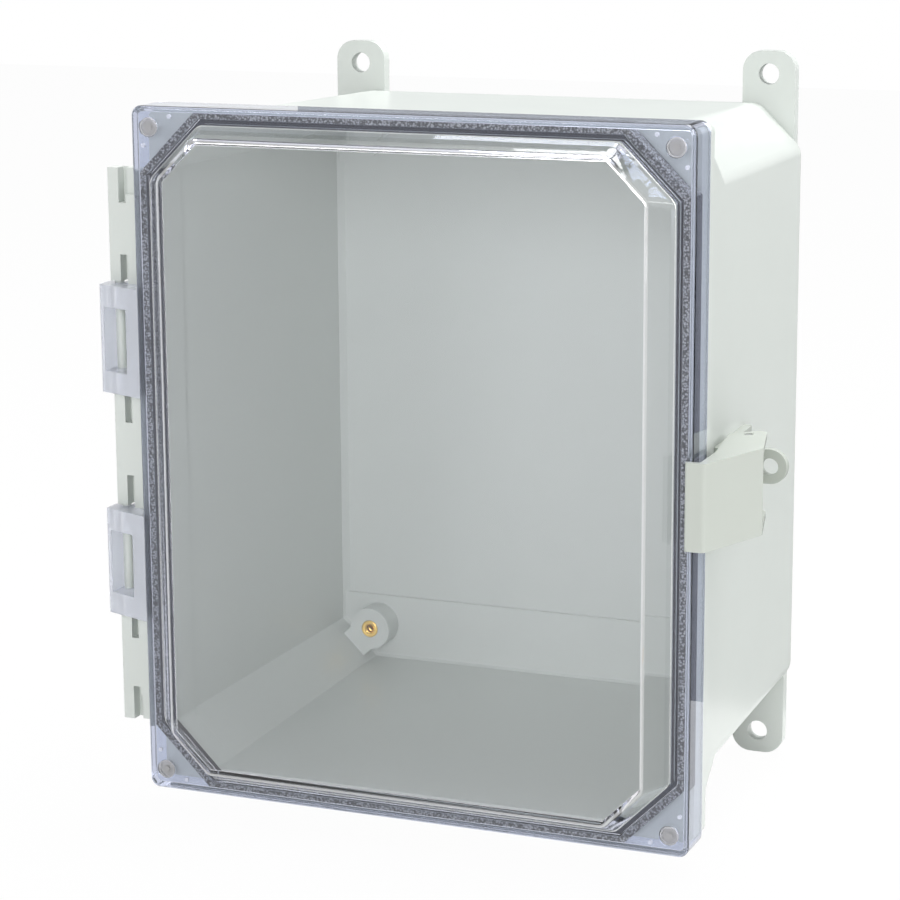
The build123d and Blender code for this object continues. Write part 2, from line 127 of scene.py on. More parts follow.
class Wiring:
    """Adds nodes to a tree and links them with few words."""

    # A colour mix has sockets for each data type: these are its factor, colours and result.
    MIX_INPUTS = (0, 6, 7)
    MIX_RESULT = 2

    def __init__(self, tree: bpy.types.NodeTree) -> None:
        """Keep the tree that the nodes go in.

        Args:
            tree: Shader or geometry tree.
        """
        self.tree = tree

    def node(
        self, kind: str, settings: dict[str, Any] | None = None, **inputs: Any
    ) -> bpy.types.Node:
        """Add one node.

        Args:
            kind: Blender's name of the node type.
            settings: Properties to set on the node itself.
            **inputs: Values or output sockets for its inputs, by name, with _ for a space.

        Returns:
            The new node.
        """
        made = self.tree.nodes.new(kind)
        for key, value in (settings or {}).items():
            setattr(made, key, value)
        for key, value in inputs.items():
            self.feed(made.inputs[key.replace("_", " ")], value)
        return made

    def feed(self, socket: bpy.types.NodeSocket, value: Any) -> None:
        """Link an output socket to an input, or set the input's value.

        Args:
            socket: Input socket.
            value: Output socket, or a plain value.
        """
        if isinstance(value, bpy.types.NodeSocket):
            self.tree.links.new(value, socket)
        else:
            socket.default_value = value

    def math(self, operation: str, first: Any, second: Any = 0.0) -> bpy.types.NodeSocket:
        """Result of a Math node on two values or sockets.

        Args:
            operation: Math node's operation.
            first: First value or socket.
            second: Second value or socket.

        Returns:
            The node's output socket.
        """
        made = self.tree.nodes.new("ShaderNodeMath")
        made.operation = operation
        self.feed(made.inputs[0], first)
        self.feed(made.inputs[1], second)
        return made.outputs[0]

    def mix_colour(
        self, amount: Any, first: Any, second: Any, blend: str = "MIX"
    ) -> bpy.types.NodeSocket:
        """Colour mixed of two.

        Args:
            amount: Share of the second colour.
            first: First colour or socket.
            second: Second colour or socket.
            blend: Way of blending them.

        Returns:
            The mixed colour's socket.
        """
        made = self.node("ShaderNodeMix", {"data_type": "RGBA", "blend_type": blend})
        for index, value in zip(self.MIX_INPUTS, (amount, first, second)):
            self.feed(made.inputs[index], value)
        return made.outputs[self.MIX_RESULT]

    def mix_shader(
        self, amount: Any, first: bpy.types.NodeSocket, second: bpy.types.NodeSocket
    ) -> bpy.types.NodeSocket:
        """Shader mixed of two.

        Args:
            amount: Share of the second shader.
            first: First shader's socket.
            second: Second shader's socket.

        Returns:
            The mixed shader's socket.
        """
        made = self.node("ShaderNodeMixShader")
        for socket, value in zip(made.inputs, (amount, first, second)):
            self.feed(socket, value)
        return made.outputs[0]

    def lay_skin(
        self, shader: bpy.types.Node, skin: bpy.types.Node, colour: bpy.types.NodeSocket
    ) -> bpy.types.NodeSocket:
        """Feed a shader with a colour and with the gloss and grain of a skin.

        Args:
            shader: Principled shader.
            skin: Placed skin group.
            colour: Colour socket.

        Returns:
            The shader's output socket.
        """
        self.feed(shader.inputs["Base Color"], colour)
        for key in ("Roughness", "Normal"):
            self.feed(shader.inputs[key], skin.outputs[key])
        return shader.outputs[0]

    def beyond_window(self) -> bpy.types.NodeSocket:
        """Distance of a shaded point outside the outline of the window's foot, less than 0 inside.

        Returns:
            Distance socket, in metres.
        """
        place = self.node("ShaderNodeTexCoord").outputs["Object"]
        parts = self.node("ShaderNodeSeparateXYZ", Vector=place).outputs
        half_x, half_z = WINDOW_HALF
        across = self.math("ABSOLUTE", parts["X"])
        upright = self.math("ABSOLUTE", parts["Z"])
        beside = self.math("SUBTRACT", across, half_x)
        above = self.math("SUBTRACT", upright, half_z)
        both = self.math("ADD", across, upright)
        leg = self.math("SUBTRACT", both, half_x + half_z - WINDOW_CUT)
        corner = self.math("MULTIPLY", leg, math.sqrt(0.5))
        return self.math("MAXIMUM", self.math("MAXIMUM", beside, above), corner)


def blank_material(name: str) -> tuple[bpy.types.Material, Wiring]:
    """New material with an empty tree.

    Args:
        name: Its name.

    Returns:
        The material, and the wiring of its tree.
    """
    made = bpy.data.materials.new(name)
    made.use_nodes = True
    made.node_tree.nodes.clear()
    return made, Wiring(made.node_tree)


class SkinGroup:
    """Shader group for a moulded skin: soft mottling, an uneven gloss and a fine grain."""

    NAME = "moulded skin"
    CLOUD_DETAIL = 4.0
    FINE_DETAIL = 2.0
    SMEAR_SCALE = 38.0
    GRAIN_DEPTH = 0.1 * MM
    SIZES = ("Mottle Scale", "Mottle", "Roughness", "Gloss Variation", "Grain Scale", "Grain")

    @classmethod
    def tree(cls) -> bpy.types.NodeTree:
        """The group's tree, built on first use."""
        return bpy.data.node_groups.get(cls.NAME) or cls._build()

    @classmethod
    def _build(cls) -> bpy.types.NodeTree:
        """Make the group with its sockets and nodes."""
        tree = bpy.data.node_groups.new(cls.NAME, "ShaderNodeTree")
        sockets = tree.interface
        sockets.new_socket("Colour", in_out="INPUT", socket_type="NodeSocketColor")
        sockets.new_socket("Shade", in_out="INPUT", socket_type="NodeSocketColor")
        for name in cls.SIZES:
            sockets.new_socket(name, in_out="INPUT", socket_type="NodeSocketFloat")
        sockets.new_socket("Colour", in_out="OUTPUT", socket_type="NodeSocketColor")
        sockets.new_socket("Roughness", in_out="OUTPUT", socket_type="NodeSocketFloat")
        sockets.new_socket("Normal", in_out="OUTPUT", socket_type="NodeSocketVector")
        wires = Wiring(tree)
        given = wires.node("NodeGroupInput").outputs
        place = wires.node("ShaderNodeTexCoord").outputs["Object"]
        cloud = cls._noise(wires, place, given["Mottle Scale"], cls.CLOUD_DETAIL)
        amount = wires.math("MULTIPLY", cloud.outputs[0], given["Mottle"])
        mottled = wires.mix_colour(amount, given["Colour"], given["Shade"])
        smear = cls._noise(wires, place, cls.SMEAR_SCALE, cls.FINE_DETAIL)
        offset = wires.math("SUBTRACT", smear.outputs[0], 0.5)
        swing = wires.math("MULTIPLY", offset, given["Gloss Variation"])
        gloss = wires.math("ADD", given["Roughness"], swing)
        grain = cls._noise(wires, place, given["Grain Scale"], cls.FINE_DETAIL)
        bump = wires.node("ShaderNodeBump", Height=grain.outputs[0], Strength=given["Grain"])
        bump.inputs["Distance"].default_value = cls.GRAIN_DEPTH
        out = wires.node("NodeGroupOutput")
        wires.feed(out.inputs["Colour"], mottled)
        wires.feed(out.inputs["Roughness"], gloss)
        wires.feed(out.inputs["Normal"], bump.outputs[0])
        return tree

    @staticmethod
    def _noise(wires: Wiring, place: Any, scale: Any, detail: float) -> bpy.types.Node:
        """Noise over the object's own coordinates."""
        return wires.node("ShaderNodeTexNoise", Vector=place, Scale=scale, Detail=detail)


# ---- Finishes ----


@dataclass(frozen=True)
class Finish:
    """A moulded or metal finish on the shared skin group."""

    name: str
    colour: Colour
    darker: Colour
    roughness: float
    mottle: float = 0.3
    mottle_scale: float = 60.0
    gloss_variation: float = 0.05
    grain: float = 0.12
    grain_scale: float = 900.0
    metallic: float = 0.0

    def material(self) -> bpy.types.Material:
        """The finish's material, built on first use."""
        return bpy.data.materials.get(self.name) or self._build()

    def _build(self) -> bpy.types.Material:
        """Make the material from the group and the surface."""
        made, wires = blank_material(self.name)
        surface = self.surface(wires, self.skin(wires))
        wires.node("ShaderNodeOutputMaterial", Surface=surface)
        return made

    def skin(self, wires: Wiring) -> bpy.types.Node:
        """Place the skin group with this finish's values.

        Args:
            wires: Wiring of the material's tree.

        Returns:
            The group's node.
        """
        skin = wires.node("ShaderNodeGroup", {"node_tree": SkinGroup.tree()})
        values = {
            "Colour": (*self.colour, 1.0),
            "Shade": (*self.darker, 1.0),
            "Mottle Scale": self.mottle_scale,
            "Mottle": self.mottle,
            "Roughness": self.roughness,
            "Gloss Variation": self.gloss_variation,
            "Grain Scale": self.grain_scale,
            "Grain": self.grain,
        }
        for key, value in values.items():
            skin.inputs[key].default_value = value
        return skin

    def surface(self, wires: Wiring, skin: bpy.types.Node) -> bpy.types.NodeSocket:
        """Principled surface fed by the skin.

        Args:
            wires: Wiring of the material's tree.
            skin: Placed skin group.

        Returns:
            The shader's output socket.
        """
        shader = wires.node("ShaderNodeBsdfPrincipled", Metallic=self.metallic)
        return wires.lay_skin(shader, skin, skin.outputs["Colour"])


@dataclass(frozen=True)
class ClearFinish(Finish):
    """Clear plastic with tinted depth, whose shadows let the light through.

    The fold index is far above the plastic's own. It stands in for the bright lamps that the real
    folds reflect.
    """

    index: float = 1.585
    depth_tint: Colour = (0.7, 0.72, 0.82)
    depth_density: float = 40.0
    shadow_tint: Colour = (0.97, 0.97, 0.98)
    fold_index: float = 4.0
    fold_roughness: float = 0.12
    flat_turn: Span = (-0.99, -0.96)
    slant_turn: Span = (-0.69, -0.75)
    # Darker, bluer base colour outside the window: painted shade on the plate's rim and skirt.
    border_painted_shade: Colour = (0.71, 0.745, 0.845)
    border_blend: float = 0.4 * MM

    def _build(self) -> bpy.types.Material:
        """Make the material with its surface and its tinted depth."""
        made, wires = blank_material(self.name)
        surface = self.surface(wires, self.skin(wires))
        depth = wires.node("ShaderNodeVolumeAbsorption", Density=self.depth_density)
        depth.inputs["Color"].default_value = (*self.depth_tint, 1.0)
        out = wires.node("ShaderNodeOutputMaterial", Surface=surface)
        wires.feed(out.inputs["Volume"], depth.outputs[0])
        return made

    def surface(self, wires: Wiring, skin: bpy.types.Node) -> bpy.types.NodeSocket:
        """Clear surface for what sees it, and plain tinted passage for light and shadow.

        Args:
            wires: Wiring of the material's tree.
            skin: Placed skin group.

        Returns:
            The shader's output socket.
        """
        shader = wires.node("ShaderNodeBsdfPrincipled", IOR=self.index)
        shader.inputs["Transmission Weight"].default_value = 1.0
        shader.inputs["Coat IOR"].default_value = self.fold_index
        shader.inputs["Coat Roughness"].default_value = self.fold_roughness
        border = self.border(wires)
        within = wires.math("SUBTRACT", 1.0, border)
        wires.feed(shader.inputs["Coat Weight"], wires.math("MULTIPLY", self.folds(wires), within))
        # Outside the window the base colour blends to a darker, bluer tint: painted shade on the
        # rim and skirt.
        base_with_rim_shade = wires.mix_colour(border, skin.outputs["Colour"], (*self.border_painted_shade, 1.0))
        wires.feed(shader.inputs["Base Color"], base_with_rim_shade)
        wires.feed(shader.inputs["Roughness"], skin.outputs["Roughness"])
        passage = wires.node("ShaderNodeBsdfTransparent", Color=(*self.shadow_tint, 1.0))
        path = wires.node("ShaderNodeLightPath").outputs
        either = wires.math("MAXIMUM", path["Is Shadow Ray"], path["Is Diffuse Ray"])
        return wires.mix_shader(either, shader.outputs[0], passage.outputs[0])

    def folds(self, wires: Wiring) -> bpy.types.NodeSocket:
        """Mask of the front's soft folds, which lie between its flat face and its slanted ones.

        Args:
            wires: Wiring of the material's tree.

        Returns:
            Mask socket, 1 in the middle of a fold.
        """
        normal = wires.node("ShaderNodeTexCoord").outputs["Normal"]
        towards = wires.node("ShaderNodeSeparateXYZ", Vector=normal).outputs["Y"]
        off_flat, off_slant = (
            wires.node("ShaderNodeMapRange", Value=towards, From_Min=start, From_Max=end).outputs[0]
            for start, end in (self.flat_turn, self.slant_turn)
        )
        return wires.math("MULTIPLY", off_flat, off_slant)

    def border(self, wires: Wiring) -> bpy.types.NodeSocket:
        """Mask of the plate's rim and skirt, which lie outside the window's foot and get painted
        shade.

        Args:
            wires: Wiring of the material's tree.

        Returns:
            Mask socket, 1 outside the window.
        """
        outside = wires.beyond_window()
        edge = wires.node("ShaderNodeMapRange", Value=outside, From_Max=self.border_blend)
        return edge.outputs[0]


@dataclass(frozen=True)
class MilkyFinish(Finish):
    """Frosted plastic that scatters some light and lets the rest through."""

    clarity: float = 0.5
    index: float = 1.585

    def surface(self, wires: Wiring, skin: bpy.types.Node) -> bpy.types.NodeSocket:
        """Half clear surface fed by the skin.

        Args:
            wires: Wiring of the material's tree.
            skin: Placed skin group.

        Returns:
            The shader's output socket.
        """
        shader = wires.node("ShaderNodeBsdfPrincipled", IOR=self.index)
        shader.inputs["Transmission Weight"].default_value = self.clarity
        return wires.lay_skin(shader, skin, skin.outputs["Colour"])


@dataclass(frozen=True)
class FoamFinish(Finish):
    """Closed-cell foam with pale grains, and painted shade in its groove behind the rib.

    Its straight outer sides get the same painted shade.
    """

    cell_scale: float = 1150.0
    cell_edge: Span = (0.2, 0.65)
    cell_gap: float = 0.2
    front: float = 0.0
    reach: Span = (0.0, 0.0)
    groove_depth: float = 1.0 * MM
    groove_reach: float = 2.8 * MM
    side_depth: float = 0.2 * MM
    # Near-black colour of the painted shade in the groove and on the outer sides.
    painted_shade_colour: Colour = (0.03, 0.033, 0.045)

    def surface(self, wires: Wiring, skin: bpy.types.Node) -> bpy.types.NodeSocket:
        """Foam surface, whose cells darken the skin's colour, with painted shade in its groove and
        on its sides.

        Args:
            wires: Wiring of the material's tree.
            skin: Placed skin group.

        Returns:
            The shader's output socket.
        """
        place = wires.node("ShaderNodeTexCoord").outputs["Object"]
        cells = wires.node("ShaderNodeTexVoronoi", Vector=place, Scale=self.cell_scale)
        ramp = wires.node("ShaderNodeValToRGB", Fac=cells.outputs["Distance"])
        stops = zip(ramp.color_ramp.elements, self.cell_edge, (1.0, self.cell_gap))
        for stop, position, grey in stops:
            stop.position = position
            stop.color = (grey, grey, grey, 1.0)
        grains = wires.mix_colour(1.0, skin.outputs["Colour"], ramp.outputs[0], "MULTIPLY")
        along = wires.node("ShaderNodeSeparateXYZ", Vector=place).outputs["Y"]
        behind = wires.math("GREATER_THAN", along, self.front + self.groove_depth)
        inside = wires.math("LESS_THAN", wires.beyond_window(), self.groove_reach)
        groove = wires.math("MULTIPLY", behind, inside)
        dark = wires.math("MAXIMUM", groove, self.sides(wires, place))
        # Near-black painted shade in the groove behind the rib and on the straight outer sides.
        colour = wires.mix_colour(dark, grains, (*self.painted_shade_colour, 1.0))
        return wires.lay_skin(wires.node("ShaderNodeBsdfPrincipled"), skin, colour)

    def sides(self, wires: Wiring, place: bpy.types.NodeSocket) -> bpy.types.NodeSocket:
        """Mask of the foam's outer sides, which get painted shade where they show through the
        skirt.

        Args:
            wires: Wiring of the material's tree.
            place: Object coordinates.

        Returns:
            Mask socket, 1 on the four straight outer sides.
        """
        parts = wires.node("ShaderNodeSeparateXYZ", Vector=place).outputs
        half_x, half_z = self.reach
        beside = wires.math("SUBTRACT", wires.math("ABSOLUTE", parts["X"]), half_x)
        above = wires.math("SUBTRACT", wires.math("ABSOLUTE", parts["Z"]), half_z)
        return wires.math("GREATER_THAN", wires.math("MAXIMUM", beside, above), -self.side_depth)


FIBERGLASS = Finish(
    name="fiberglass skin",
    colour=shade(206, 211, 207),
    darker=shade(197, 202, 198),
    roughness=0.3,
    grain=0.1,
)
LATCH_PLASTIC = Finish(
    name="latch plastic skin",
    colour=shade(184, 189, 182),
    darker=shade(177, 182, 175),
    roughness=0.26,
    grain=0.06,
)
CLEAR_PLASTIC = ClearFinish(
    name="clear polycarbonate",
    colour=shade(255, 255, 255),
    darker=shade(252, 252, 255),
    roughness=0.02,
    gloss_variation=0.0,
)
LOOP_PLASTIC = MilkyFinish(
    name="frosted polycarbonate",
    colour=shade(244, 247, 255),
    darker=shade(239, 243, 255),
    roughness=0.2,
    clarity=0.62,
)
PLUG_PLASTIC = MilkyFinish(
    name="natural plug plastic",
    colour=shade(236, 236, 238),
    darker=shade(224, 222, 220),
    roughness=0.12,
    mottle_scale=300.0,
    clarity=0.7,
)
# Frosted plastic marks, made near-white as a painted glint.
MARK_PLASTIC_AND_GLINT = MilkyFinish(
    name="white mould mark",
    colour=shade(250, 250, 252),
    darker=shade(244, 244, 248),
    roughness=0.2,
    clarity=0.1,
)
GASKET_FOAM = FoamFinish(
    name="gasket foam",
    front=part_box("cover_gasket")[0].y,
    reach=(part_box("cover_gasket")[1].x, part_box("cover_gasket")[1].z),
    colour=shade(204, 206, 207),
    darker=shade(160, 162, 165),
    roughness=0.85,
    mottle=1.0,
    mottle_scale=500.0,
    grain=0.8,
    grain_scale=1800.0,
)
BRASS = Finish(
    name="turned brass",
    colour=shade(238, 200, 112),
    darker=shade(222, 182, 94),
    roughness=0.24,
    metallic=1.0,
    grain=0.15,
    grain_scale=2500.0,
)
STEEL = Finish(
    name="plain steel",
    colour=shade(196, 196, 198),
    darker=shade(184, 184, 186),
    roughness=0.28,
    metallic=1.0,
    grain=0.1,
    grain_scale=2500.0,
)


# ---- Pieces on the frame ----


def settle(piece: bpy.types.Object, body: Body, finish: Finish) -> None:
    """Give a finished piece its body and its material.

    Args:
        piece: Object at the origin, with its place in its mesh.
        body: CAD body that it rides on.
        finish: Its finish.
    """
    piece.data.materials.clear()
    piece.data.materials.append(finish.material())
    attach(piece, body.value)
    LOG.info("%s: %d faces on %s", piece.name, len(piece.data.polygons), body.value)


@dataclass(frozen=True)
class MouldedPiece:
    """A CAD node's shape with merged corners, smooth curves and softened edges.

    The bevel keeps its overlap clamp, so short edges hold it well below the edge width on the
    shell, the rail, the loops, the lever and the bracket.
    """

    node: str
    body: Body
    slot: Slot
    finish: Finish
    edge: float = 0.35 * MM
    smooth_angle: float = 32.0
    bevel_angle: float = 42.0
    bevel_segments: int = 2
    merge_distance: float = 0.002 * MM
    flat_angle: float = 0.4
    flat_weight: int = 100

    def build(self) -> bpy.types.Object:
        """Copy the node, merge it, soften its edges and put it in the node's place.

        Returns:
            The finished piece.
        """
        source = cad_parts[self.node]
        mesh = source.data.copy()
        mesh.name = f"{self.node}_skin"
        work = bmesh.new()
        work.from_mesh(mesh)
        bmesh.ops.remove_doubles(work, verts=work.verts, dist=self.merge_distance)
        flat = math.radians(self.flat_angle)
        bmesh.ops.dissolve_limit(work, angle_limit=flat, verts=work.verts, edges=work.edges)
        work.to_mesh(mesh)
        work.free()
        mesh.shade_smooth()
        mesh.set_sharp_from_angle(angle=math.radians(self.smooth_angle))
        piece = bpy.data.objects.new(mesh.name, mesh)
        bpy.context.scene.collection.objects.link(piece)
        soft = piece.modifiers.new("soft edges", "BEVEL")
        soft.width = self.edge
        soft.segments = self.bevel_segments
        soft.limit_method = "ANGLE"
        soft.angle_limit = math.radians(self.bevel_angle)
        soft.harden_normals = False
        level = piece.modifiers.new("true flats", "WEIGHTED_NORMAL")
        level.mode = "FACE_AREA"
        level.weight = self.flat_weight
        level.keep_sharp = True
        settle(piece, self.body, self.finish)
        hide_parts(self.node)
        return piece


# ---- Geometry node trees for the small repeated pieces ----


class GeometryTree:
    """A geometry node tree with named inputs, which ends in plain mesh with its material."""

    TUBE_SIDES = 64
    RIM_STEPS = 3
    HELIX_STEPS = 32
    RIDGE_SIDES = 4
    RIDGE_SHARE = 0.45
    SHARP_ANGLE = 35.0

    def __init__(self, name: str, inputs: dict[str, str]) -> None:
        """Start a tree.

        Args:
            name: Tree's name.
            inputs: Socket types by input name.
        """
        self.tree = bpy.data.node_groups.new(name, "GeometryNodeTree")
        sockets = self.tree.interface
        sockets.new_socket("Geometry", in_out="INPUT", socket_type="NodeSocketGeometry")
        for key, kind in inputs.items():
            sockets.new_socket(key, in_out="INPUT", socket_type=kind)
        sockets.new_socket("Geometry", in_out="OUTPUT", socket_type="NodeSocketGeometry")
        self.wires = Wiring(self.tree)
        self.given = self.wires.node("NodeGroupInput").outputs

    def tube(self, outer: Any, inner: Any, length: Any, soft: float) -> bpy.types.NodeSocket:
        """Turned tube along Z from 0 to a length, with softened rims.

        Args:
            outer: Outer radius.
            inner: Bore radius.
            length: Length along Z.
            soft: Radius of the rims.

        Returns:
            Mesh socket.
        """
        wires = self.wires
        thickness = wires.math("SUBTRACT", outer, inner)
        middle = wires.math("MULTIPLY", wires.math("ADD", outer, inner), 0.5)
        round_path = wires.node(
            "GeometryNodeCurvePrimitiveCircle", Resolution=self.TUBE_SIDES, Radius=middle
        )
        section = wires.node(
            "GeometryNodeCurvePrimitiveQuadrilateral", Width=thickness, Height=length
        )
        rims = wires.node("GeometryNodeFilletCurve", {"mode": "POLY"})
        wires.feed(rims.inputs["Curve"], section.outputs[0])
        wires.feed(rims.inputs["Count"], self.RIM_STEPS)
        wires.feed(rims.inputs["Radius"], soft)
        sweep = wires.node("GeometryNodeCurveToMesh")
        wires.feed(sweep.inputs["Curve"], round_path.outputs[0])
        wires.feed(sweep.inputs["Profile Curve"], rims.outputs[0])
        return self.stand(sweep.outputs[0], length)

    def disc(self, radius: Any, height: Any, sides: int = 48) -> bpy.types.NodeSocket:
        """Solid round bar along Z from 0 to a height.

        Args:
            radius: Its radius.
            height: Its height.
            sides: Corners of the round.

        Returns:
            Mesh socket.
        """
        wires = self.wires
        bar = wires.node("GeometryNodeMeshCylinder", Vertices=sides, Radius=radius, Depth=height)
        return self.stand(bar.outputs[0], height)

    def stand(self, shape: bpy.types.NodeSocket, height: Any) -> bpy.types.NodeSocket:
        """Lift a shape made about its middle, so that it stands on 0.

        Args:
            shape: Mesh socket.
            height: Its height along Z.

        Returns:
            Mesh socket.
        """
        wires = self.wires
        lift = wires.node("ShaderNodeCombineXYZ", Z=wires.math("MULTIPLY", height, 0.5)).outputs[0]
        placed = wires.node("GeometryNodeTransform", Geometry=shape, Translation=lift)
        return placed.outputs[0]

    def thread(self, radius: Any, length: Any, pitch: Any) -> bpy.types.NodeSocket:
        """Helical ridge along Z inside a bore.

        Args:
            radius: Bore radius.
            length: Length along Z.
            pitch: Rise of one turn.

        Returns:
            Mesh socket.
        """
        wires = self.wires
        turns = wires.math("DIVIDE", length, pitch)
        helix = wires.node(
            "GeometryNodeCurveSpiral", Resolution=self.HELIX_STEPS, Rotations=turns, Height=length
        )
        wires.feed(helix.inputs["Start Radius"], radius)
        wires.feed(helix.inputs["End Radius"], radius)
        half = wires.math("MULTIPLY", pitch, self.RIDGE_SHARE)
        ridge = wires.node(
            "GeometryNodeCurvePrimitiveCircle", Resolution=self.RIDGE_SIDES, Radius=half
        )
        sweep = wires.node("GeometryNodeCurveToMesh")
        wires.feed(sweep.inputs["Curve"], helix.outputs[0])
        wires.feed(sweep.inputs["Profile Curve"], ridge.outputs[0])
        wires.feed(sweep.inputs["Fill Caps"], True)
        return sweep.outputs[0]

    def join(self, *parts: bpy.types.NodeSocket) -> bpy.types.NodeSocket:
        """One geometry made of several.

        Args:
            *parts: Geometry sockets.

        Returns:
            Joined geometry socket.
        """
        joined = self.wires.node("GeometryNodeJoinGeometry")
        for part in parts:
            self.tree.links.new(part, joined.inputs[0])
        return joined.outputs[0]

    def four_corners(self, centre: Any, reach: Any) -> bpy.types.NodeSocket:
        """Points at the four corners of an upright rectangle.

        Args:
            centre: Its centre.
            reach: Half its width along X and half its height along Z.

        Returns:
            Point cloud socket.
        """
        wires = self.wires
        index = wires.node("GeometryNodeInputIndex").outputs[0]
        column = wires.math("MODULO", index, 2.0)
        row = wires.math("FLOOR", wires.math("DIVIDE", index, 2.0))
        side = wires.math("SUBTRACT", wires.math("MULTIPLY", column, 2.0), 1.0)
        level = wires.math("SUBTRACT", wires.math("MULTIPLY", row, 2.0), 1.0)
        signs = wires.node("ShaderNodeCombineXYZ", X=side, Z=level)
        arm = wires.node("ShaderNodeVectorMath", {"operation": "MULTIPLY"})
        wires.feed(arm.inputs[0], signs.outputs[0])
        wires.feed(arm.inputs[1], reach)
        place = wires.node("ShaderNodeVectorMath", {"operation": "ADD"})
        wires.feed(place.inputs[0], arm.outputs[0])
        wires.feed(place.inputs[1], centre)
        points = wires.node("GeometryNodePoints", Count=4, Position=place.outputs[0])
        return points.outputs[0]

    def repeat(
        self, points: bpy.types.NodeSocket, shape: bpy.types.NodeSocket, turn: Point
    ) -> bpy.types.NodeSocket:
        """A shape at each point, turned about the point.

        Args:
            points: Points to repeat it at.
            shape: Mesh to repeat, along Z.
            turn: Rotation of each one, as Euler angles.

        Returns:
            Instances socket.
        """
        wires = self.wires
        made = wires.node("GeometryNodeInstanceOnPoints", Points=points, Instance=shape)
        wires.feed(made.inputs["Rotation"], turn)
        return made.outputs[0]

    def finish(self, shape: bpy.types.NodeSocket) -> None:
        """End the tree in realized mesh with the material of its input.

        Args:
            shape: Instances or mesh of the whole piece.
        """
        wires = self.wires
        real = wires.node("GeometryNodeRealizeInstances", Geometry=shape)
        smooth = wires.node("GeometryNodeSetShadeSmooth", Geometry=real.outputs[0])
        painted = wires.node("GeometryNodeSetMaterial", Geometry=smooth.outputs[0])
        wires.feed(painted.inputs["Material"], self.given["Material"])
        out = wires.node("NodeGroupOutput")
        wires.feed(out.inputs["Geometry"], painted.outputs[0])

    def bake(self, name: str, values: dict[str, Any]) -> bpy.types.Object:
        """Run the tree once and keep its result as a plain mesh.

        Args:
            name: Name of the new object.
            values: Input values by input name.

        Returns:
            Object at the origin with the mesh.
        """
        carrier = bpy.data.objects.new(name, bpy.data.meshes.new(name))
        bpy.context.scene.collection.objects.link(carrier)
        run = carrier.modifiers.new("pattern", "NODES")
        run.node_group = self.tree
        for item in self.tree.interface.items_tree:
            if item.in_out == "INPUT" and item.name in values:
                run[item.identifier] = values[item.name]
        graph = bpy.context.evaluated_depsgraph_get()
        made = bpy.data.meshes.new_from_object(carrier.evaluated_get(graph), depsgraph=graph)
        carrier.modifiers.clear()
        carrier.data = made
        made.name = name
        made.set_sharp_from_angle(angle=math.radians(self.SHARP_ANGLE))
        return carrier


# ---- Sub-assemblies ----


@dataclass
class MouldedBox:
    """The fiberglass box with its hinge rail and its brass inserts."""

    bore_radius: float = 2.1 * MM
    rim: float = 0.45 * MM
    thread_pitch: float = 0.8 * MM
    pieces: list[bpy.types.Object] = field(default_factory=list)

    def build(self) -> None:
        """Dress the shell and the rail, and put turned inserts in the bosses."""
        for node in ("box_body", "hinge_rail"):
            moulded = MouldedPiece(node, Body.ENCLOSURE, Slot.FIBERGLASS, FIBERGLASS)
            self.pieces.append(moulded.build())
        self.pieces.append(self.inserts())

    def inserts(self) -> bpy.types.Object:
        """Four turned inserts with threads in their bores.

        Returns:
            One mesh with all four.
        """
        nodes = [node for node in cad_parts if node.startswith("panel_insert")]
        low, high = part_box("panel_insert_upper_right")
        centre = (low + high) / 2
        tree = GeometryTree("panel inserts", {
            "Material": "NodeSocketMaterial",
            "Centre": "NodeSocketVector",
            "Reach": "NodeSocketVector",
            "Radius": "NodeSocketFloat",
            "Bore": "NodeSocketFloat",
            "Length": "NodeSocketFloat",
            "Pitch": "NodeSocketFloat",
        })
        given = tree.given
        tube = tree.tube(given["Radius"], given["Bore"], given["Length"], self.rim)
        thread = tree.thread(given["Bore"], given["Length"], given["Pitch"])
        points = tree.four_corners(given["Centre"], given["Reach"])
        tree.finish(tree.repeat(points, tree.join(tube, thread), FACING_FRONT))
        piece = tree.bake("panel_inserts", {
            "Material": BRASS.material(),
            "Centre": (0.0, high.y, 0.0),
            "Reach": (centre.x, 0.0, centre.z),
            "Radius": (high.x - low.x) / 2,
            "Bore": self.bore_radius,
            "Length": high.y - low.y,
            "Pitch": self.thread_pitch,
        })
        settle(piece, Body.ENCLOSURE, BRASS)
        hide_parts(*nodes)
        return piece


